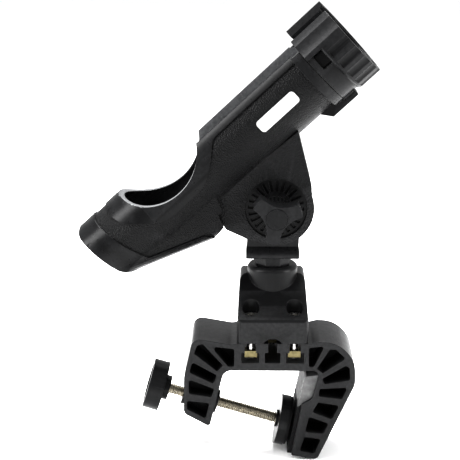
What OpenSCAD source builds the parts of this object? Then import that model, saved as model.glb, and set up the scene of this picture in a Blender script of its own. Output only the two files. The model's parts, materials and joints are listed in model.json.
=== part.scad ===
// Clamp-on fishing rod holder: open-top rod tube with a turning lock ring,
// tilting on a swivel post that stands in a socket bolted to a C-clamp.
// Units are millimetres, +Z is up, +X runs towards the fixed jaw.
// The origin is the middle of the clamp throat's upper face.

/* [Clamp] */
// Depth of the clamp frame
frame_depth = 44; // [36:1:60]
// Thickness of the web between the pockets
web_thickness = 6; // [3:0.5:12]
// Height of the bridge above the throat
bridge_height = 19; // [16:0.5:24]
// Downward tilt of the clamp screw
screw_tilt = 16.5; // [8:0.5:22]
// Diameter of the clamp screw
screw_d = 7.9; // [6:0.1:10]

/* [Post] */
// Distance of the post axis behind the clamp's middle
post_y = 14; // [0:1:20]
// Diameter of the post
post_d = 22.4; // [20:0.1:26]
// Height of the socket boss
boss_top = 64; // [55:1:75]
// Height of the tilt pivot
pivot_z = 105.7; // [98:0.5:115]
// Sideways offset of the tilt pivot
pivot_x = 1.8; // [0:0.1:4]

/* [Holder] */
// Tilt of the rod tube at rest
tube_tilt = 43.1; // [20:0.1:60]
// Height of the tube axis above the pivot
tube_rise = 50.4; // [45:0.1:60]
// Outer radius of the tube
tube_r = 26; // [25:0.5:30]
// Inner radius of the tube
bore_r = 22.6; // [20:0.1:25]
// Half width of the slot along the top
slot_half = 20.2; // [14:0.1:21]
// Radius of the scooped hand opening
scoop_r = 35.6; // [32:0.1:38]
// Height of the raised smooth bands
band = 0.9; // [0.4:0.1:1.5]

/* [Hidden] */
$fn = 96;
arc_steps = 7;
half = frame_depth / 2;
pitch_clear = 0.05;
post_r = post_d / 2;
screw_r = screw_d / 2;
screw_at = [-60, 0, -24.6];
pad_tilt = 11.5;
pad_s = 66.8;
screw_web = 19.2;
bolt_xy = [[-14.4, -13], [14.4, -13], [0, post_y]];
bolt_r = 2.6;
boss_r = 16.85;
boss_rim = [[2.4, 0], [1.4, 0.35], [0.5, 1.2], [0, 2.4]];
block_back = post_y + 17;
pin_r = 4;
cheek_out = 16;
cheek_in = 10.5;
tongue_half = 10.2;
serration = 1.1;
nose_r = 25;
nose_end = 109.3;
collar_at = 74;
ring_at = 81;
grip_at = 92.3;
ring_end = 110;
scoop_at = [-37.2, 37.4];
toe_at = [-112, 3.4];
toe_r = 22.7;
toe_len = 50;
keel_at = [-103, -16.4];
keel_tilt = 20.2;
keel_r = 20;
keel_edge = 12;
butt_r = 18.6;
knob_back = 30;
knob_front = 42;
hub_r = 8.6;
lobe_r = 16.5;
black = [0.10, 0.10, 0.11];
dark = [0.16, 0.16, 0.17];
steel = [0.70, 0.68, 0.60];
brass = [0.66, 0.58, 0.34];

// ---- helpers ----
function unit(v) = v / norm(v);
function turn(a) = a > 180 ? a - 360 : (a < -180 ? a + 360 : a);
function corner(a, b, c, r) =
    let (u = unit(a - b), v = unit(c - b), h = acos(u * v) / 2,
         p = b + u * r / tan(h), q = b + v * r / tan(h), m = b + unit(u + v) * r / sin(h),
         a0 = atan2(p[1] - m[1], p[0] - m[0]),
         da = turn(atan2(q[1] - m[1], q[0] - m[0]) - a0))
    [for (i = [0:arc_steps]) m + r * [cos(a0 + da * i / arc_steps), sin(a0 + da * i / arc_steps)]];
// corner list of [x, z, fillet radius] to outline points
function rounded(p) = [for (i = [0:len(p) - 1])
    let (n = len(p), a = p[(i + n - 1) % n], b = p[i], c = p[(i + 1) % n])
    each (b[2] > 0 ? corner([a[0], a[1]], [b[0], b[1]], [c[0], c[1]], b[2]) : [[b[0], b[1]]])];

// outline in X and Z, from y0 to y1
module plate(corners, y0, y1)
    translate([0, y1, 0]) rotate([90, 0, 0]) linear_extrude(y1 - y0) polygon(rounded(corners));
// outline in Y and Z, from x0 to x1
module beam(corners, x0, x1)
    translate([x0, 0, 0]) rotate([90, 0, 90]) linear_extrude(x1 - x0) polygon(rounded(corners));
// outline in X and Y, from z0 to z1
module slab(corners, z0, z1)
    translate([0, 0, z0]) linear_extrude(z1 - z0) polygon(rounded(corners));
module x_rod(r, x0, x1) translate([x0, 0, 0]) rotate([0, 90, 0]) cylinder(r = r, h = x1 - x0);
module x_cone(ra, rb, x0, x1)
    translate([x0, 0, 0]) rotate([0, 90, 0]) cylinder(r1 = ra, r2 = rb, h = x1 - x0);
module y_rod(r, y0, y1) translate([0, y1, 0]) rotate([90, 0, 0]) cylinder(r = r, h = y1 - y0);
module hexagon(r, z0, z1) translate([0, 0, z0]) cylinder(r = r, h = z1 - z0, $fn = 6);

// local frames: along the clamp screw, about the tilt pivot, along the rod tube
module on_screw() translate(screw_at) rotate([0, screw_tilt, 0]) children();
module at_pad() on_screw() translate([pad_s, 0, 0]) rotate([0, pad_tilt - screw_tilt, 0]) children();
module at_pivot() translate([pivot_x, post_y, pivot_z]) children();
module on_tube() at_pivot() rotate([0, -tube_tilt, 0]) translate([0, 0, tube_rise]) children();

// ---- clamp ----
left_pockets = [
    [[-38.4, 16.6, 1.2], [-38.4, 13.9, 1], [-29.6, 3, 1], [-25.4, 2.8, 1.2], [-25.4, 15.2, 1.4]],
    [[-46.2, 18.6, 1.2], [-32.9, 3.6, 1.2], [-36.6, -0.7, 1], [-52, 11.8, 1.2], [-49.8, 17.6, 1.6]],
    [[-53.2, 5.8, 1.6], [-37, -3.4, 1.4], [-39.2, -9.4, 1.2], [-55.1, -1.6, 1.4]]];
screw_pockets = [
    [[-55.6, -6.4, 1.6], [-38.8, -13.2, 1.4], [-40.6, -19, 1.4], [-55.6, -16.8, 1.8]],
    [[-57, -21.9, 1.4], [-42, -23.4, 1.4], [-44.4, -34.6, 1.4], [-57, -28, 1.4]]];
right_pockets = [
    [[24, 16.2, 1.2], [34.2, 17.4, 1.4], [27.4, 3, 1], [24, 2.9, 1.2]],
    [[37.7, 15.2, 1.2], [41.8, 15, 1.4], [48.4, 8.8, 1.4], [33.3, -1.5, 1.2], [29.3, 1.5, 1]],
    [[33, -5.6, 1.2], [48.6, 3.8, 1.2], [51, 2, 1.4], [51.6, -6.4, 1.4], [34.6, -9.3, 1.2]],
    [[31.5, -12.8, 1.2], [50, -11.8, 1.4], [46.4, -20, 1.4], [30.8, -18.1, 1.2]],
    [[30.6, -22.5, 1.2], [44.6, -24.8, 1.4], [40, -34.7, 1.4], [26.9, -29.5, 1.2]],
    [[24.8, -32.9, 1.2], [37.8, -37.8, 1.4], [34.4, -45.2, 1.4], [22.2, -43.9, 1.2]],
    [[21.9, -47.6, 1.2], [32.8, -49.1, 1.4], [28.8, -59.6, 1.4], [18.8, -57.8, 1.2]]];
outline = [
    [-32.2, 0, 6], [-41.9, -40.2, 1.8], [-59.1, -30.7, 4.5], [-58.8, -5, 14], [-52.9, 21.9, 5.5],
    [-45.5, 21.4, 6], [-27, 18.2, 6], [-24, bridge_height, 0], [24, bridge_height, 0],
    [26, 19.2, 4], [31, 20.4, 6], [42.6, 19.8, 19], [54.6, 7.6, 19], [55, -9.5, 14],
    [30.6, -63.6, 3], [13, -61, 1.2], [19.8, -24, 2], [26.4, -20.2, 4],
    [30.6, -4, 4], [29.4, 0, 3]];

module slot_profile(x)
    plate([[x - 5.9, 5.5, 0.6], [x + 5.9, 5.5, 0.6], [x + 5.9, 12.6, 0.6], [x + 3.7, 12.6, 0],
           [x + 3.7, bridge_height + 1, 0], [x - 3.7, bridge_height + 1, 0], [x - 3.7, 12.6, 0],
           [x - 5.9, 12.6, 0.6]], -half - 1, half + 1);

module pockets(list, web)
    for (p = list) {
        plate(p, -half - 1, -web / 2);
        plate(p, web / 2, half + 1);
    }

module clamp_frame() color(dark) difference() {
    plate(outline, -half, half);
    pockets(left_pockets, web_thickness);
    pockets(screw_pockets, screw_web);
    pockets(right_pockets, web_thickness);
    slot_profile(-14.75);
    slot_profile(14.75);
    plate([[-5.1, 5.5, 0.6], [5.1, 5.5, 0.6], [5.1, 12.6, 0.6], [2.9, 12.6, 0],
           [2.9, bridge_height + 1, 0], [-2.9, bridge_height + 1, 0], [-2.9, 12.6, 0],
           [-5.1, 12.6, 0.6]], -half - 1, half + 1);
    on_screw() {
        x_rod(6.4, -8, 30);
        x_rod(8.4, -8, 1.9);
        x_rod(8.4, 21.9, 34);
    }
}

// stepped jaw strip, drawn from its lowest tooth up
jaw_top = [21.6, -6.4];
tooth = [0.82, 4.15];
tooth_count = 13;
jaw_steps = [for (i = [tooth_count - 1:-1:0])
    let (x = jaw_top[0] - tooth[0] * i, z = jaw_top[1] - tooth[1] * i)
    each [[x - tooth[0] - 0.5, z - tooth[1] + 0.3, 0], [x, z, 0]]];
module jaw_grip() color(black) difference() {
    plate([[14, -60.6, 0], each jaw_steps, [22.6, -5, 0.8], [32, -3.8, 0], [32, -24, 0],
           [16, -60.6, 0]], -19.5, 19.5);
    plate(outline, -half - 1, half + 1);
}

module bushing_nut() color(steel) on_screw() difference() {
    x_rod(6.35, 2.2, 21.6);
    x_rod(screw_r + pitch_clear, 0, 30);
}

module bushing_flange() color(dark) on_screw() difference() {
    union() {
        x_rod(8.1, -0.3, 1.9);
        x_rod(8.1, 21.9, 23.9);
    }
    x_rod(screw_r + 0.35, -3, 30);
}

module post_socket() color(dark) difference() {
    union() {
        intersection() {
            beam([[-half, bridge_height, 0], [block_back, bridge_height, 0], [block_back, 57.2, 2.5],
                  [12, 57.2, 3], [-2, 49.4, 4], [-half, 34.8, 2.5]], -30, 30);
            plate([[-23.4, bridge_height, 0], [23.4, bridge_height, 0], [23.3, 35, 0], [21.6, 57.2, 4.2],
                   [-21.6, 57.2, 4.2], [-23.3, 35, 0]], -60, 60);
            slab([[-23.4, -half, 3], [23.4, -half, 3], [23.4, block_back, 3],
                  [-23.4, block_back, 3]], 10, 70);
        }
        intersection() {
            translate([0, post_y, 0]) union() {
                cylinder(r = boss_r, h = boss_top - boss_rim[0][0]);
                for (i = [0:2]) translate([0, 0, boss_top - boss_rim[i][0]])
                    cylinder(r1 = boss_r - boss_rim[i][1], r2 = boss_r - boss_rim[i + 1][1],
                             h = boss_rim[i][0] - boss_rim[i + 1][0]);
            }
            translate([-30, -30, bridge_height]) cube([60, 30 + block_back, 60]);
        }
    }
    translate([0, post_y, 27]) cylinder(r = post_r + pitch_clear, h = 60);
    for (i = [0, 1]) translate([bolt_xy[i][0], bolt_xy[i][1], 0]) {
        cylinder(r = bolt_r + 0.35, h = 60);
        translate([0, 0, 32]) cylinder(r = 5.6, h = 40);
    }
    translate([0, post_y, 0]) {
        cylinder(r = bolt_r + 0.35, h = 60);
        translate([0, 0, 22.8]) cylinder(r = 6, h = 10);
    }
    translate([0, -half, bridge_height - 4]) rotate([90, 0, 0]) cylinder(r = 7.4, h = 16, center = true);
}

module hex_bolt(top, bottom) {
    translate([0, 0, bottom]) cylinder(r = bolt_r, h = top - bottom);
    difference() {
        translate([0, 0, top]) cylinder(r = 4.4, h = 3.2);
        hexagon(2.4, top + 1.2, top + 4);
    }
}
module bolt_spots() for (p = bolt_xy) translate([p[0], p[1], 0]) children();
module socket_bolts() color(steel) {
    for (i = [0, 1]) translate([bolt_xy[i][0], bolt_xy[i][1], 0]) hex_bolt(33.4, 6.2);
    translate([0, post_y, 0]) hex_bolt(23.9, 6.2);
}
module washer(z) translate([0, 0, z]) difference() {
    cylinder(r = 5.2, h = 1);
    translate([0, 0, -1]) cylinder(r = bolt_r + 0.3, h = 4);
}
module bolt_washers() color(steel) {
    for (i = [0, 1]) translate([bolt_xy[i][0], bolt_xy[i][1], 0]) washer(32.2);
    translate([0, post_y, 0]) washer(22.85);
}
module slot_nuts() color(brass) bolt_spots() difference() {
    translate([-4.3, -4.3, 7.6]) cube([8.6, 8.6, 4.6]);
    cylinder(r = bolt_r + pitch_clear, h = 30);
}

// ---- clamp screw and pad ----
module clamp_screw() color(steel) on_screw() {
    x_rod(screw_r, -22, pad_s - 2.3);
    x_rod(2.6, pad_s - 3, pad_s - 1);
    translate([pad_s, 0, 0]) sphere(r = 3.6);
}
module thumb_knob() color(black) on_screw() difference() {
    union() {
        difference() {
            x_rod(17, -25, -14.4);
            for (a = [0:12:359]) rotate([a, 0, 0]) translate([0, 0, 17.5]) rotate([45, 0, 0])
                cube([30, 1.3, 1.3], center = true);
            x_rod(12.6, -26, -23.6);
        }
        x_rod(8.4, -14.5, -10.4);
    }
    x_rod(6.2, -23, -10);
}
module thumb_insert() color(brass) on_screw() difference() {
    x_rod(6.15, -22.9, -10.6);
    x_rod(screw_r, -22, -9);
}
module pressure_pad() color(black) at_pad() difference() {
    union() {
        x_rod(17, 0, 6.3);
        x_rod(5.8, -1.4, 0.5);
    }
    sphere(r = 3.66);
}
module pad_facing() color(dark) at_pad() x_rod(16.4, 6.3, 7.9);

// ---- post ----
module post_body() color(black) difference() {
    union() {
        translate([0, post_y, 33]) cylinder(r = post_r, h = 40);
        translate([0, post_y, 30]) cylinder(r1 = post_r - 1.5, r2 = post_r, h = 3.1);
        translate([0, post_y, boss_top + 0.3]) rotate([0, 0, 22.5])
            cylinder(r = post_r / cos(22.5), h = 8, $fn = 8);
        intersection() {
            plate([[-17.9, 71, 0.8], [17.5, 71, 0.8], [17.5, 76.4, 0.8], [17.1, 78.2, 0], [-17.5, 78.2, 0],
                   [-17.9, 76.4, 0.8]], post_y - 15.5, post_y + 15.5);
            beam([[post_y - 15.5, 71, 1], [post_y + 15.5, 71, 1], [post_y + 15.5, 74.5, 2],
                  [post_y + 9, 79, 0], [post_y - 9, 79, 0], [post_y - 15.5, 74.5, 2]], -30, 30);
        }
        plate([[-17.4, 76, 0], [17, 76, 0], [18.2, pivot_z, 0], [-14.6, pivot_z, 0]],
              post_y - tongue_half, post_y + tongue_half);
        at_pivot() y_rod(17, -tongue_half, tongue_half);
    }
    at_pivot() y_rod(pin_r + 0.1, -20, 20);
    for (side = [-1, 1], a = [0:15:359]) at_pivot() rotate([0, a, 0])
        translate([12.4, side * tongue_half, 0]) cube([6.6, 2 * serration, 1.2], center = true);
    translate([0, post_y, 25]) cylinder(r = 7, h = 36);
}

// ---- rod tube ----
module toe() translate([toe_at[0], 0, toe_at[1]]) rotate([0, 4.2, 0]) children();
module body_form(g) {
    x_rod(tube_r + g, toe_at[0] + toe_len, collar_at + 1);
    toe() x_cone(toe_r + g, tube_r + g, 0, toe_len + 1);
    translate([keel_at[0], 0, keel_at[1]]) rotate([0, keel_tilt, 0])
        beam([[-keel_r - g, -g, keel_edge + g], [keel_r + g, -g, keel_edge + g], [keel_r + g, 31, 0],
              [-keel_r - g, 31, 0]], -8, 76);
}
side_profile = [[90, 40, 0], [-96, 40, 0], [-96, 27.2, 0], [-110.2, 28.4, 5], [-103.1, -17.1, 13],
                [-45.3, -38.4, 4], [-33.2, -35.8, 2], [-30, -27, 0], [90, -27, 0]];
rim_region = [[90, 40, 0], [-84, 40, 0], [-82.5, 14, 22], [-57, -6.6, 30], [-20, -6.6, 30], [2.5, 13, 10],
              [90, 13.4, 0]];
toe_region = [[-120, 40, 0], [-94, 40, 0], [-94, 22, 0], [-84, -17.1, 3], [-46.5, -31.6, 1], [-40, -45, 0],
              [-120, -45, 0]];
gusset = [[45.6, -22, 0], [27.6, -54.6, 8], [18, -66, 10], [0, -48, 0], [-24, -62, 6], [-33.6, -38.4, 1.5],
          [-30, -18, 0]];
hook = [[61.5, -24, 0], [67.8, -32.2, 1], [89.5, -32.2, 1], [89.5, -29.2, 0.4], [80, -29.2, 0],
        [78, -24, 0]];

module shell_outside() {
    intersection() {
        union() {
            body_form(0);
            intersection() {
                body_form(band);
                union() {
                    plate(rim_region, -40, 40);
                    plate(toe_region, -40, 40);
                }
            }
        }
        plate(side_profile, -40, 40);
    }
    intersection() {
        x_rod(tube_r + 2.6, collar_at, ring_at - 0.3);
        translate([collar_at - 1, -40, -40]) cube([20, 80, 56.6]);
    }
    x_rod(nose_r, ring_at - 1, nose_end);
    x_rod(nose_r + 1.3, nose_end - 2.2, nose_end);
    plate(hook, -6, 6);
    plate(gusset, -cheek_out, cheek_out);
    translate([0, 0, -tube_rise]) y_rod(25, -cheek_out, cheek_out);
}

module holder_shell() color(black) on_tube() difference() {
    shell_outside();
    x_rod(bore_r, -88, 120);
    toe() x_rod(butt_r, -3, 30);
    translate([-30, -slot_half, 8]) cube([150, 2 * slot_half, 60]);
    translate([scoop_at[0], 0, scoop_at[1]]) y_rod(scoop_r, -50, 50);
    plate([[-74, -27, 3], [-82, -60, 0], [-37.5, -60, 0], [-37.5, -27, 3]], -8, 8);
    translate([0, 0, -tube_rise]) {
        y_rod(27.4, -cheek_in, cheek_in);
        y_rod(pin_r + 0.1, -40, 40);
        y_rod(20.4, -cheek_out - 5, -cheek_out + 2.4);
        for (a = [0:15:359]) rotate([0, a, 0]) translate([14.6, -cheek_out + 3, 0])
            cube([7.4, 2.4, 2], center = true);
        y_rod(12, cheek_out - 2, cheek_out + 5);
        translate([0, cheek_out - 3.6, 0]) rotate([-90, 0, 0]) cylinder(r = 7.4, h = 9, $fn = 6);
    }
    plate([[-22, -31.4, 3], [20, -31.4, 3], [22, -52, 0], [-20, -70, 0], [-42, -70, 0], [-42, -47, 0],
           [-22, -47, 0]], -cheek_in, cheek_in);
}

module badge_plate() color([0.75, 0.75, 0.76]) on_tube() intersection() {
    difference() {
        x_rod(tube_r + 0.7, 29.5, 62.5);
        x_rod(tube_r + 0.02, 20, 70);
    }
    plate([[29.8, 2.4, 2.4], [61.6, 2.4, 2.4], [61.6, -6.4, 2.4], [29.8, -6.4, 2.4]], -40, 0);
}

// ---- tilt bolt and knob ----
module tilt_bolt() color(steel) at_pivot() rotate([0, -tube_tilt, 0]) {
    y_rod(pin_r, -knob_front + 4.4, cheek_out - 3);
    translate([0, cheek_out - 3.5, 0]) rotate([-90, 0, 0]) cylinder(r = 7.3, h = 4.3, $fn = 6);
}
module bolt_cap() color(black) at_pivot() difference() {
    y_rod(11.7, cheek_out - 1.95, cheek_out + 2.2);
    y_rod(8.2, cheek_out - 3, cheek_out + 1);
}
lobes = [21, 141, 260];
function spun(p, a) = [p[0] * cos(a) - p[1] * sin(a), p[0] * sin(a) + p[1] * cos(a)];
function lobed() = [for (i = [0:2])
    let (a = lobes[i], b = a + turn(lobes[(i + 1) % 3] - a) / 2)
    each [[each spun([lobe_r, -4.4], a), 1.6], [each spun([lobe_r, 4.4], a), 1.6],
          [each spun([5.8, 0], b), 17]]];
module tilt_knob() color(black) at_pivot() difference() {
    plate(lobed(), -knob_front, -knob_back);
    y_rod(6.1, -knob_back - 8, 0);
    y_rod(6.85, -knob_front - 1, -knob_front + 1);
}
module knob_nut() color(brass) at_pivot() difference() {
    y_rod(6.05, -knob_back - 7.9, -knob_back);
    y_rod(pin_r + pitch_clear, -40, 0);
}
module knob_cap() color(dark) at_pivot() y_rod(6.8, -knob_front - 0.5, -knob_front + 1);
module knob_hub() color(black) at_pivot() difference() {
    union() {
        y_rod(hub_r, -knob_back, -cheek_out - 0.6);
        for (a = [0:15:359]) rotate([0, a, 0]) translate([hub_r, -(knob_back + cheek_out) / 2 - 0.5, 0])
            cube([1.6, knob_back - cheek_out - 3, 1.1], center = true);
    }
    y_rod(pin_r + 0.2, -40, 0);
}
module knob_washer() color(steel) at_pivot() difference() {
    y_rod(8.2, -cheek_out - 0.6, -cheek_out + 2.35);
    y_rod(pin_r + 0.2, -40, 0);
}

// ---- lock ring ----
// sector of the ring that spans the top, open to the given angles either side
module ring_sector(near, far) rotate([90, 0, 90]) translate([0, 0, 70]) linear_extrude(60)
    polygon([[0, 0], [-70 * sin(near), 70 * cos(near)], [-40, 90], [40, 90],
             [70 * sin(far), 70 * cos(far)]]);
module lock_ring() color(black) on_tube() difference() {
    union() {
        x_rod(28.6, ring_at, grip_at + 0.1);
        x_cone(29.4, 30.4, grip_at, grip_at + 1.2);
        x_rod(30.4, grip_at + 1.2, ring_end);
        intersection() {
            x_rod(30.4, ring_at, grip_at + 2);
            ring_sector(72, 72);
        }
    }
    x_rod(nose_r + 0.3, 70, 120);
    x_rod(nose_r + 1.6, nose_end - 2.5, 120);
    rotate([57, 0, 0]) translate([0, 0, 60]) x_rod(30.4, 70, 120);
    for (a = [84:18:300]) rotate([a, 0, 0]) translate([grip_at + 2.5, 0, 36]) x_rod(6.6, 0, 30);
    plate([[85.4, 9, 0.8], [92.4, 9, 0.8], [92.4, -1.6, 0.8], [85.4, -1.6, 0.8]], -40, -20);
    ring_sector(37, 26);
}

clamp_frame();
jaw_grip();
bushing_nut();
bushing_flange();
post_socket();
socket_bolts();
bolt_washers();
slot_nuts();
clamp_screw();
thumb_knob();
thumb_insert();
pressure_pad();
pad_facing();
post_body();
holder_shell();
badge_plate();
tilt_bolt();
bolt_cap();
tilt_knob();
knob_nut();
knob_washer();
knob_cap();
knob_hub();
lock_ring();
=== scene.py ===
import json
import math

import bmesh
import bpy
from mathutils import Matrix, Vector

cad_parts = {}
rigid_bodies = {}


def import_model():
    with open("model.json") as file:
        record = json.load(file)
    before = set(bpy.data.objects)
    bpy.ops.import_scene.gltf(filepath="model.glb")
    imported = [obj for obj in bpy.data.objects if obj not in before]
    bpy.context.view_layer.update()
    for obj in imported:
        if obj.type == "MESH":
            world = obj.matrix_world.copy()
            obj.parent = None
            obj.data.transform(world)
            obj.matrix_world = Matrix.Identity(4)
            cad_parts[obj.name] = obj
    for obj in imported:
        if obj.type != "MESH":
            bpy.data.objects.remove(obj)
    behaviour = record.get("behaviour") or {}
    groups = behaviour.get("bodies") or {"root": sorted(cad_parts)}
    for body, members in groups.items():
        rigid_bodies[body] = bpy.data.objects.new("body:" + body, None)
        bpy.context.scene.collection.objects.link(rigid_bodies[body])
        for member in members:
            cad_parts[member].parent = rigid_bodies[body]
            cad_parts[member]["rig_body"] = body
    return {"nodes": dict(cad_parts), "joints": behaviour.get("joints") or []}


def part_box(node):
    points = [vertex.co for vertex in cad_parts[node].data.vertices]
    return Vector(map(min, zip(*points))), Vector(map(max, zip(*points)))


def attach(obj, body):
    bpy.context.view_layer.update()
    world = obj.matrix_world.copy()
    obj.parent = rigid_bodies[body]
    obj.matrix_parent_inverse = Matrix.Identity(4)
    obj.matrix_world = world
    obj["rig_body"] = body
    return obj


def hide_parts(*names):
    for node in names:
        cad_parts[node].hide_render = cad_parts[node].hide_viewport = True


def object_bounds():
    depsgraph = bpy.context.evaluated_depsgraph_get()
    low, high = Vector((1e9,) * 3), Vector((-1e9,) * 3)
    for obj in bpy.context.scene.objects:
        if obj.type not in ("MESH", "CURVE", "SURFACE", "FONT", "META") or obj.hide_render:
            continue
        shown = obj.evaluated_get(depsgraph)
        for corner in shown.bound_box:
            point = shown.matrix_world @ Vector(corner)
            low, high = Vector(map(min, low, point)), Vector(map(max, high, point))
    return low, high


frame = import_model()
cad_box = [list(corner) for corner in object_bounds()]
nodes = frame["nodes"]
joints = {joint["name"]: joint for joint in frame["joints"]}
MM = 0.001

# ---- local frames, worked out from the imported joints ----
tube_axis = Vector(joints["ring_turn"]["axis"])
pivot = Vector(joints["holder_tilt"]["pos_m"])
tube_up = Vector((-tube_axis.z, 0, tube_axis.x))
tube_rise = (Vector(joints["ring_turn"]["pos_m"]) - pivot).dot(tube_up)
tube_origin = pivot + tube_up * tube_rise
screw_axis = Vector(joints["screw_turn"]["axis"])
screw_origin = Vector(joints["screw_turn"]["pos_m"])


def frame_matrix(origin, along):
    """A frame whose X runs along a direction in the XZ plane, with Y kept."""
    up = Vector((-along.z, 0, along.x))
    turn = Matrix((along, (0, 1, 0), up)).transposed()
    return Matrix.Translation(origin) @ turn.to_4x4()


TUBE = frame_matrix(tube_origin, tube_axis)
SCREW = frame_matrix(screw_origin, screw_axis)


# ---- materials ----
class Graph:
    """Short calls for building a node material."""

    def __init__(self, name):
        self.material = bpy.data.materials.new(name)
        self.material.use_nodes = True
        self.tree = self.material.node_tree
        self.shader = self.tree.nodes["Principled BSDF"]
        self.coords = self.tree.nodes.new("ShaderNodeTexCoord").outputs["Object"]

    def node(self, kind, **inputs):
        made = self.tree.nodes.new(kind)
        for name, value in inputs.items():
            socket = made.inputs[name.replace("_", " ")]
            if hasattr(value, "is_output"):
                self.tree.links.new(value, socket)
            else:
                socket.default_value = value
        return made

    def noise(self, size, detail=3.0, rough=0.5):
        made = self.node("ShaderNodeTexNoise", Vector=self.coords, Scale=1 / size,
                         Detail=detail, Roughness=rough)
        return made.outputs["Fac"]

    def cells(self, size):
        made = self.node("ShaderNodeTexVoronoi", Vector=self.coords, Scale=1 / size)
        return made.outputs["Distance"]

    def ramp(self, factor, stops):
        made = self.node("ShaderNodeValToRGB", Fac=factor)
        ramp = made.color_ramp
        for position, colour in stops[2:]:
            ramp.elements.new(position)
        for element, (position, colour) in zip(ramp.elements, sorted(stops)):
            element.position = position
            element.color = (*colour, 1)
        return made.outputs["Color"]

    def mottle(self, colour, variation, size, detail=3.0):
        """A colour that drifts between a darker and a lighter shade in soft patches."""
        low, high = shades(colour, variation)
        return self.ramp(self.noise(size, detail), [(0.3, low), (0.7, high)])

    def spread(self, factor, low, high):
        made = self.node("ShaderNodeMapRange", Value=factor, To_Min=low, To_Max=high)
        return made.outputs["Result"]

    def mix(self, factor, first, second):
        made = self.tree.nodes.new("ShaderNodeMix")
        made.data_type = "RGBA"
        # sockets 0, 6 and 7 are the factor and the two colours
        for index, value in ((0, factor), (6, first), (7, second)):
            if hasattr(value, "is_output"):
                self.tree.links.new(value, made.inputs[index])
            else:
                made.inputs[index].default_value = value if index == 0 else (*value, 1)
        return made.outputs[2]

    def bump(self, height, strength, depth, normal=None):
        made = self.node("ShaderNodeBump", Height=height, Strength=strength, Distance=depth)
        if normal:
            self.tree.links.new(normal, made.inputs["Normal"])
        return made.outputs["Normal"]

    def set(self, socket, value):
        if hasattr(value, "is_output"):
            self.tree.links.new(value, self.shader.inputs[socket])
        else:
            self.shader.inputs[socket].default_value = value


def shades(colour, variation):
    """The colour made darker and lighter by the same share."""
    return [tuple(c * k for c in colour) for k in (1 - variation, 1 + variation)]


# sizes of the patterns in moulded plastic, and the radius its shading gives an edge
SHADE_PATCH = 9 * MM
# patch size of the noise that breaks up the painted edge highlight
HIGHLIGHT_PATCH = 2.2 * MM
GLOSS_PATCH = 4 * MM
FLOW_MARK = 14 * MM
SOFT_CORNER = 0.55 * MM
# the mesh pointiness where the painted edge highlight starts and where it is full
HIGHLIGHT_FROM = 0.51
HIGHLIGHT_FULL = 0.58


def moulded(name, colour, rough, grain, strength, depth, shine=0.2):
    """Moulded plastic: pebble grain, faint flow marks and a painted highlight along the edges, broken
    into scuff-like patches by noise.
    """
    g = Graph(name)
    base = g.mottle(colour, 0.18, SHADE_PATCH)
    # a lighter colour on sharp edges, broken up by noise: a painted highlight standing in for light
    # caught along the edges
    highlight_colour = tuple(c * 3 + 0.012 for c in colour)
    edge = g.tree.nodes.new("ShaderNodeNewGeometry").outputs["Pointiness"]
    highlight_edge = g.spread(edge, 0, 1)
    highlight_edge.node.inputs["From Min"].default_value = HIGHLIGHT_FROM
    highlight_edge.node.inputs["From Max"].default_value = HIGHLIGHT_FULL
    highlight_patches = g.node("ShaderNodeMath", Value=highlight_edge)
    highlight_patches.operation = "MULTIPLY"
    g.tree.links.new(g.noise(HIGHLIGHT_PATCH), highlight_patches.inputs[1])
    g.set("Base Color", g.mix(highlight_patches.outputs[0], base, highlight_colour))
    g.set("Specular IOR Level", shine)
    g.set("Roughness", g.spread(g.noise(GLOSS_PATCH), rough - 0.06, rough + 0.08))
    corner = g.node("ShaderNodeBevel", Radius=SOFT_CORNER)
    corner.samples = 6
    flow = g.bump(g.noise(FLOW_MARK, 2), 0.12, 0.25 * MM, corner.outputs["Normal"])
    g.set("Normal", g.bump(g.cells(grain), strength, depth, flow))
    return g.material


def plated(name, colour, rough, streak):
    """Plated metal: fine turning streaks, dull patches and a little grime."""
    g = Graph(name)
    low, high = shades(colour, 0.12)
    patch = g.noise(3 * MM, 5, 0.6)
    dull = tuple(c * 0.45 for c in colour)
    g.set("Base Color", g.ramp(patch, [(0.25, dull), (0.7, high), (0.45, low)]))
    g.set("Metallic", 1.0)
    g.set("Roughness", g.spread(g.noise(1.5 * MM, 4), rough - 0.08, rough + 0.14))
    g.set("Normal", g.bump(g.noise(streak, 2), 0.2, 0.03 * MM))
    return g.material


def rubbery(name, colour, rough):
    """Matt rubber or soft plastic with a fine rough skin."""
    g = Graph(name)
    g.set("Base Color", g.mottle(colour, 0.3, 5 * MM, 5))
    g.set("Specular IOR Level", 0.2)
    g.set("Roughness", g.spread(g.noise(2 * MM), rough - 0.08, rough + 0.08))
    g.set("Normal", g.bump(g.noise(0.5 * MM, 4), 0.35, 0.06 * MM))
    return g.material


def label(name, colour):
    """A smooth plate with slight unevenness."""
    g = Graph(name)
    g.set("Base Color", g.mottle(colour, 0.05, 6 * MM, 4))
    g.set("Roughness", g.spread(g.noise(2 * MM), 0.25, 0.4))
    g.set("Normal", g.bump(g.noise(0.8 * MM), 0.1, 0.02 * MM))
    return g.material


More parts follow.
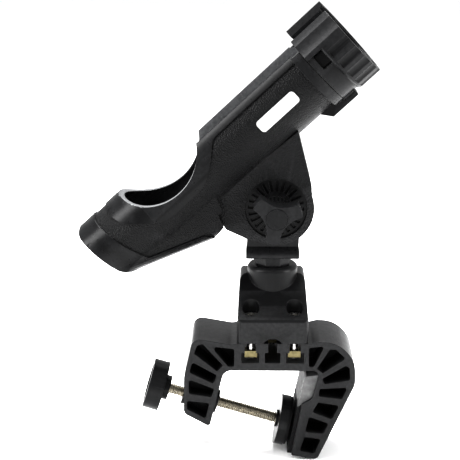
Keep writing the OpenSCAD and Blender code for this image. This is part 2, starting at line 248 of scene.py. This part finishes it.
PEBBLE = moulded("pebbled_nylon", (0.006, 0.0061, 0.0065), 0.36, 0.95 * MM, 1.0, 0.4 * MM)
SATIN = moulded("satin_nylon", (0.0045, 0.0046, 0.005), 0.28, 0.35 * MM, 0.12, 0.04 * MM)
GRIP = moulded("grip_nylon", (0.005, 0.0051, 0.0055), 0.30, 0.45 * MM, 0.2, 0.05 * MM)
CLAMP = moulded("clamp_nylon", (0.007, 0.0071, 0.0075), 0.34, 0.5 * MM, 0.22, 0.06 * MM,
                shine=0.22)
RUBBER = rubbery("jaw_rubber", (0.009, 0.009, 0.0095), 0.7)
ZINC = plated("zinc_steel", (0.46, 0.43, 0.36), 0.32, 0.25 * MM)
STEEL = plated("bright_steel", (0.62, 0.61, 0.59), 0.26, 0.2 * MM)
BRASS = plated("yellow_plate", (0.24, 0.21, 0.12), 0.40, 0.2 * MM)
# the rim's base colour is lighter than the body's: a painted highlight for the bright line of light
# along the slot and scoop rims, on top of its real extra gloss
RIM_WITH_HIGHLIGHT = moulded("polished_rim_painted_highlight", (0.055, 0.056, 0.058), 0.24, 0.35 * MM, 0.08, 0.03 * MM,
              shine=0.6)
PALE = rubbery("pale_jaw", (0.15, 0.15, 0.15), 0.55)
BADGE = label("badge_face", (0.50, 0.50, 0.50))


# ---- meshes ----
MERGE = 0.002 * MM
FLAT = math.radians(0.1)
BEVELLED = math.radians(32)
SHARP = math.radians(50)


def clean_mesh(node):
    """A copy of a CAD node's mesh with flat areas joined into single faces."""
    bm = bmesh.new()
    bm.from_mesh(nodes[node].data)
    bmesh.ops.remove_doubles(bm, verts=bm.verts, dist=MERGE)
    bmesh.ops.dissolve_degenerate(bm, edges=bm.edges, dist=MERGE)
    bmesh.ops.dissolve_limit(bm, angle_limit=FLAT, verts=bm.verts, edges=bm.edges)
    return bm


def bake_modifiers(piece):
    graph = bpy.context.evaluated_depsgraph_get()
    mesh = bpy.data.meshes.new_from_object(piece.evaluated_get(graph))
    piece.modifiers.clear()
    piece.data = mesh


def add_piece(name, bm, materials):
    mesh = bpy.data.meshes.new(name)
    bm.to_mesh(mesh)
    bm.free()
    piece = bpy.data.objects.new(name, mesh)
    bpy.context.scene.collection.objects.link(piece)
    for material in materials:
        mesh.materials.append(material)
    return piece


def round_edges(piece, width, segments):
    bevel = piece.modifiers.new("edges", "BEVEL")
    bevel.width = width
    bevel.segments = segments
    bevel.limit_method = "ANGLE"
    bevel.angle_limit = BEVELLED
    bevel.use_clamp_overlap = True
    bake_modifiers(piece)
    piece.data.shade_smooth()
    piece.data.set_sharp_from_angle(angle=SHARP)
    weighted = piece.modifiers.new("normals", "WEIGHTED_NORMAL")
    weighted.keep_sharp = True
    weighted.weight = 90
    bake_modifiers(piece)


def exact_piece(node, materials):
    """A piece with the CAD node's own surface and normals, whose material rounds the edges."""
    piece = bpy.data.objects.new(node + "_finish", nodes[node].data.copy())
    bpy.context.scene.collection.objects.link(piece)
    piece.data.materials.clear()
    for material in materials:
        piece.data.materials.append(material)
    return piece


def finished(node, material, width, segments):
    """The finished form of a CAD node: same shape, rounded edges, its own material."""
    piece = add_piece(node + "_finish", clean_mesh(node), [material])
    round_edges(piece, width, segments)
    settle(piece, node)


def dressed(node, materials, pick):
    """A CAD node's exact form, with the material that pick gives for each face's middle."""
    piece = exact_piece(node, materials)
    for face in piece.data.polygons:
        face.material_index = pick(face.center)
    settle(piece, node)


def settle(piece, node):
    """Puts a piece on its CAD node's body, in the node's place, and hides the CAD node."""
    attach(piece, nodes[node]["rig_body"])
    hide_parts(node)


# ---- clamp screw ----
SCREW_R = 3.95 * MM
PITCH = 1.411 * MM
THREAD_START = -22 * MM
THREAD_TO_BALL = 2.3 * MM
THREAD_DEPTH = 0.61 * PITCH
NECK_R = 2.6 * MM
NECK_LENGTH = 2 * MM
BALL_R = 3.6 * MM


def threaded(bm, radius, pitch, depth, start, end, steps=28):
    """A helical thread along local X, from start to end."""
    # one turn's crest and root, each as a share of the pitch and a radius
    profile = [(0.0, radius - depth), (0.3, radius), (0.45, radius), (0.78, radius - depth)]
    first = int((start / pitch - 2) * steps)
    last = int((end / pitch + 1) * steps)
    grid = []
    for k in range(first, last + steps + 1):
        angle = 2 * math.pi * k / steps
        row = []
        for along, r in profile:
            x = (k / steps + along) * pitch
            row.append(bm.verts.new((x, r * math.cos(angle), r * math.sin(angle))))
        grid.append(row)
    for k in range(last - first):
        here, then = grid[k], grid[k + 1]
        above, above_then = grid[k + steps][0], grid[k + steps + 1][0]
        ring = here + [above]
        ring_then = then + [above_then]
        for j in range(len(profile)):
            bm.faces.new((ring[j], ring[j + 1], ring_then[j + 1], ring_then[j]))
    for place, way in ((start, -1), (end, 1)):
        geom = bm.verts[:] + bm.edges[:] + bm.faces[:]
        bmesh.ops.bisect_plane(bm, geom=geom, plane_co=(place, 0, 0), plane_no=(way, 0, 0),
                               clear_outer=True)
    loose = [v for v in bm.verts if not v.link_faces]
    bmesh.ops.delete(bm, geom=loose, context="VERTS")
    rims = [e for e in bm.edges if e.is_boundary]
    bmesh.ops.holes_fill(bm, edges=rims, sides=0)
    bmesh.ops.recalc_face_normals(bm, faces=bm.faces)


def clamp_screw():
    """The threaded rod with its neck and ball end."""
    low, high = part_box("clamp_screw")
    bm = bmesh.new()
    # the ball touches the far and the lower side of the CAD node's box
    reach = (Vector((high.x, 0, low.z)) - screw_origin).dot(screw_axis)
    ball_at = reach - BALL_R * (screw_axis.x - screw_axis.z)
    threaded(bm, SCREW_R, PITCH, THREAD_DEPTH, THREAD_START, ball_at - THREAD_TO_BALL)
    lie_along_x = Matrix.Rotation(math.pi / 2, 4, "Y")
    bmesh.ops.create_cone(bm, cap_ends=True, segments=32, radius1=NECK_R, radius2=NECK_R,
                          depth=NECK_LENGTH,
                          matrix=Matrix.Translation((ball_at - NECK_LENGTH, 0, 0)) @ lie_along_x)
    bmesh.ops.create_uvsphere(bm, u_segments=32, v_segments=20, radius=BALL_R,
                              matrix=Matrix.Translation((ball_at, 0, 0)))
    bmesh.ops.transform(bm, matrix=SCREW, verts=bm.verts)
    piece = add_piece("clamp_screw_thread", bm, [ZINC])
    for face in piece.data.polygons:
        face.use_smooth = True
    piece.data.set_sharp_from_angle(angle=math.radians(40))
    settle(piece, "clamp_screw")


# ---- rod tube ----
# the holder's own sizes, in the tube's frame, which starts on the tube's axis by the tilt pivot
TUBE_R = 26 * MM
TUBE_REAR = -62 * MM
TOE_R = 22.7 * MM
TOE_LENGTH = 51 * MM
TOE_FRONT = -60 * MM
KEEL_HALF = 20 * MM
KEEL_EDGE = 12 * MM
KEEL_FLAT = KEEL_HALF - KEEL_EDGE
KEEL_TOP = 31 * MM
KEEL_FRONT = -30 * MM
CHEEK_Y = 16 * MM
HUB_R = 20.5 * MM
WALL_INSIDE = 22.4 * MM
WALL_OUTSIDE = 27.4 * MM
RING_REAR = 73 * MM
SCOOP_X = -37.2 * MM
SCOOP_Z = 37.4 * MM
SCOOP_R = 35.6 * MM
SLOT_Y = 20.2 * MM
SLOT_REAR = -30 * MM
SLOT_BOTTOM = 8 * MM
# how far a face's middle may lie off a surface and still count as on it
SKIN = 0.35 * MM
SCOOP_SKIN = 0.3 * MM
SLOT_SKIN = 0.1 * MM


def tube_frame(along, up, tilt):
    """A frame set on the rod tube's own axes and tipped down by a tilt in degrees."""
    lean = math.radians(tilt)
    ahead = TUBE.to_3x3() @ Vector((math.cos(lean), 0, -math.sin(lean)))
    return frame_matrix(TUBE @ Vector((along * MM, 0, up * MM)), ahead)


TOE = tube_frame(along=-112, up=3.4, tilt=4.2)
KEEL = tube_frame(along=-103, up=-16.4, tilt=20.2)


def pebbled(point):
    """True on the grained skin: the tube, toe cone, keel and gusset walls, but not the bands."""
    at = TUBE.inverted() @ point
    radial = math.hypot(at.y, at.z)
    if abs(radial - TUBE_R) < SKIN and at.x > TUBE_REAR:
        return True
    toe = TOE.inverted() @ point
    cone = TOE_R + (TUBE_R - TOE_R) * toe.x / TOE_LENGTH
    on_cone = abs(math.hypot(toe.y, toe.z) - cone) < SKIN
    if on_cone and at.x <= TOE_FRONT and toe.x > 0:
        return True
    keel = KEEL.inverted() @ point
    side = abs(keel.y)
    if keel.z > KEEL_EDGE:
        off_keel = side - KEEL_HALF
    elif side < KEEL_FLAT:
        off_keel = keel.z
    else:
        off_keel = math.hypot(side - KEEL_FLAT, keel.z - KEEL_EDGE) - KEEL_EDGE
    if abs(off_keel) < SKIN and keel.z < KEEL_TOP and at.x < KEEL_FRONT:
        return True
    hub = at - Vector((0, 0, -tube_rise))
    return abs(abs(at.y) - CHEEK_Y) < SKIN and math.hypot(hub.x, hub.z) > HUB_R


def on_rim(point):
    """True on the wall's thickness along the slot and the scoop."""
    at = TUBE.inverted() @ point
    radial = math.hypot(at.y, at.z)
    if not WALL_INSIDE < radial < WALL_OUTSIDE or at.x > RING_REAR:
        return False
    from_scoop = math.hypot(at.x - SCOOP_X, at.z - SCOOP_Z)
    on_slot = abs(abs(at.y) - SLOT_Y) < SLOT_SKIN and at.z > SLOT_BOTTOM and at.x > SLOT_REAR
    return on_slot or abs(from_scoop - SCOOP_R) < SCOOP_SKIN


def holder_skin(point):
    """The holder's material at a point: 0 is satin, 1 pebbled and 2 the polished rim, whose lighter
    colour is a painted highlight.
    """
    return 2 if on_rim(point) else int(pebbled(point))


# ---- pieces ----
JAW_PARTING = -26 * MM
WIDE_EDGE = 0.5
# node, material and width of the rounded edge in mm
PLAIN = [
    ("bushing_nut", BRASS, 0.2), ("bushing_flange", SATIN, 0.4), ("socket_bolts", STEEL, 0.3),
    ("bolt_washers", STEEL, 0.15), ("slot_nuts", BRASS, 0.35), ("thumb_knob", GRIP, 0.35),
    ("thumb_insert", BRASS, 0.2), ("pressure_pad", GRIP, 0.8), ("pad_facing", RUBBER, 0.2),
    ("post_body", SATIN, 0.5), ("badge_plate", BADGE, 0.15),
    ("tilt_bolt", STEEL, 0.3), ("bolt_cap", SATIN, 0.5), ("knob_washer", STEEL, 0.2),
    ("knob_nut", BRASS, 0.2), ("knob_cap", SATIN, 0.3)]
EXACT = [("clamp_frame", CLAMP), ("post_socket", CLAMP), ("tilt_knob", GRIP), ("knob_hub", GRIP),
         ("lock_ring", GRIP)]

for name, material, width in PLAIN:
    finished(name, material, width * MM, 3 if width >= WIDE_EDGE else 2)
for name, material in EXACT:
    dressed(name, [material], lambda point: 0)
# the jaw strip's upper part is pale and its lower part dark
dressed("jaw_grip", [RUBBER, PALE], lambda point: int(point.z > JAW_PARTING))
dressed("holder_shell", [SATIN, PEBBLE, RIM_WITH_HIGHLIGHT], holder_skin)
clamp_screw()


# ---- studio ----
# name, place, size and power of each soft light
LIGHTS = [
    ("top_box", (-0.1, 0.25, 0.9), (0.5, 0.5), 26),
    ("left_box", (-0.8, -0.3, 0.55), (0.3, 0.8), 12),
    ("right_box", (0.8, -0.25, 0.35), (0.25, 0.8), 9)]
LIT_POINT = (0, 0, 0.1)
DAYLIGHT = 1.05
FLOOR_REACH = 8
FLOOR_DROP = 1 * MM


def soft_light(name, place, size, power):
    data = bpy.data.lights.new(name, "AREA")
    data.shape = "RECTANGLE"
    data.size, data.size_y = size
    data.energy = power
    lamp = bpy.data.objects.new(name, data)
    lamp.location = place
    lamp.rotation_euler = (Vector(LIT_POINT) - Vector(place)).to_track_quat("-Z", "Y").to_euler()
    bpy.context.scene.collection.objects.link(lamp)


def studio():
    world = bpy.data.worlds.new("studio")
    world.use_nodes = True
    sky = world.node_tree.nodes["Background"]
    sky.inputs["Color"].default_value = (1, 1, 1, 1)
    sky.inputs["Strength"].default_value = DAYLIGHT
    bpy.context.scene.world = world
    for light in LIGHTS:
        soft_light(*light)
    low = cad_box[0][2] - FLOOR_DROP
    corners = [(x * FLOOR_REACH, y * FLOOR_REACH, low) for x, y in ((-1, -1), (1, -1), (1, 1), (-1, 1))]
    mesh = bpy.data.meshes.new("floor")
    mesh.from_pydata(corners, [], [(0, 1, 2, 3)])
    floor = bpy.data.objects.new("floor", mesh)
    g = Graph("floor_paper")
    greys = [(0.3, (0.92, 0.92, 0.92)), (0.7, (0.95, 0.95, 0.95))]
    g.set("Base Color", g.ramp(g.noise(0.3), greys))
    g.set("Roughness", 0.9)
    mesh.materials.append(g.material)
    bpy.context.scene.collection.objects.link(floor)


EYE_AWAY = 0.9
EYE_UP = math.radians(16)
EYE_TURN = math.radians(-0.8)
LOOK_AT = Vector((-0.02847, 0, 0.09069))
LENS_MM = 106.7
SENSOR_MM = 36
# below 1 it deepens the dark tones
TONE_GAMMA = 0.74


def camera():
    """Eye 900 mm away, 16 degrees above the object, a fraction to the right."""
    data = bpy.data.cameras.new("camera")
    data.sensor_width = SENSOR_MM
    data.lens = LENS_MM
    level = math.cos(EYE_UP)
    view = Vector((math.sin(EYE_TURN) * level, math.cos(EYE_TURN) * level, -math.sin(EYE_UP)))
    eye = bpy.data.objects.new("camera", data)
    eye.location = LOOK_AT - view * EYE_AWAY
    eye.rotation_euler = view.to_track_quat("-Z", "Y").to_euler()
    bpy.context.scene.collection.objects.link(eye)
    bpy.context.scene.camera = eye


studio()
camera()
bpy.context.scene.view_settings.view_transform = "Standard"
bpy.context.scene.view_settings.gamma = TONE_GAMMA
